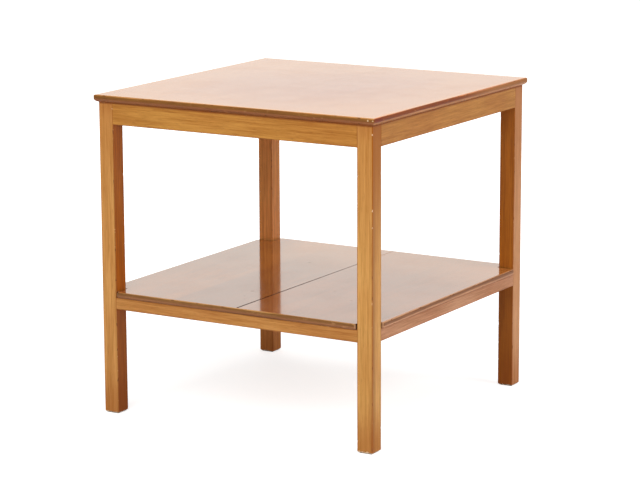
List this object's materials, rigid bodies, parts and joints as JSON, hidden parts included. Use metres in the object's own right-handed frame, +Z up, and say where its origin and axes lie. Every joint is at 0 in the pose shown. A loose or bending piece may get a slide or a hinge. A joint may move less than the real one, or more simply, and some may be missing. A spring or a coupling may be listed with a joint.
{
  "type": "end table with shelf",
  "caption": "Square wooden end table on straight square legs, with a round-edged overhanging top and a low shelf notched round the legs.",
  "frame": {"origin": "on the floor, under the middle of the table", "axes": "+Z up, +X to the right of someone who faces the front, +Y towards the back; the shelf's open joint runs along Y"},
  "size_m": [0.6, 0.6, 0.61],
  "materials": {
    "frame_wood": "satin lacquer over straight-grained golden brown wood",
    "board_wood": "high-gloss lacquer over red-brown wood",
    "lipping_wood": "gloss lacquer over red-brown wood",
    "button_wood": "bare planed wood",
    "screw_steel": "plain zinc-plated steel"
  },
  "bodies": {
    "root": {"apron_back": "frame_wood", "apron_front": "frame_wood", "apron_left": "frame_wood", "apron_right": "frame_wood", "button_screws": "screw_steel", "leg_back_left": "frame_wood", "leg_back_right": "frame_wood", "leg_front_left": "frame_wood", "leg_front_right": "frame_wood", "rail_back": "frame_wood", "rail_front": "frame_wood", "rail_left": "frame_wood", "rail_right": "frame_wood", "shelf_board_left": "board_wood", "shelf_board_right": "board_wood", "shelf_lipping_back": "lipping_wood", "shelf_lipping_front": "lipping_wood", "shelf_lipping_left": "lipping_wood", "shelf_lipping_right": "lipping_wood", "shelf_screws": "screw_steel", "top_board_left": "board_wood", "top_board_right": "board_wood", "top_button_back_left": "button_wood", "top_button_back_right": "button_wood", "top_button_front_left": "button_wood", "top_button_front_right": "button_wood", "top_button_left": "button_wood", "top_button_right": "button_wood", "top_lipping_back": "lipping_wood", "top_lipping_front": "lipping_wood", "top_lipping_left": "lipping_wood", "top_lipping_right": "lipping_wood"}
  },
  "joints": []
}
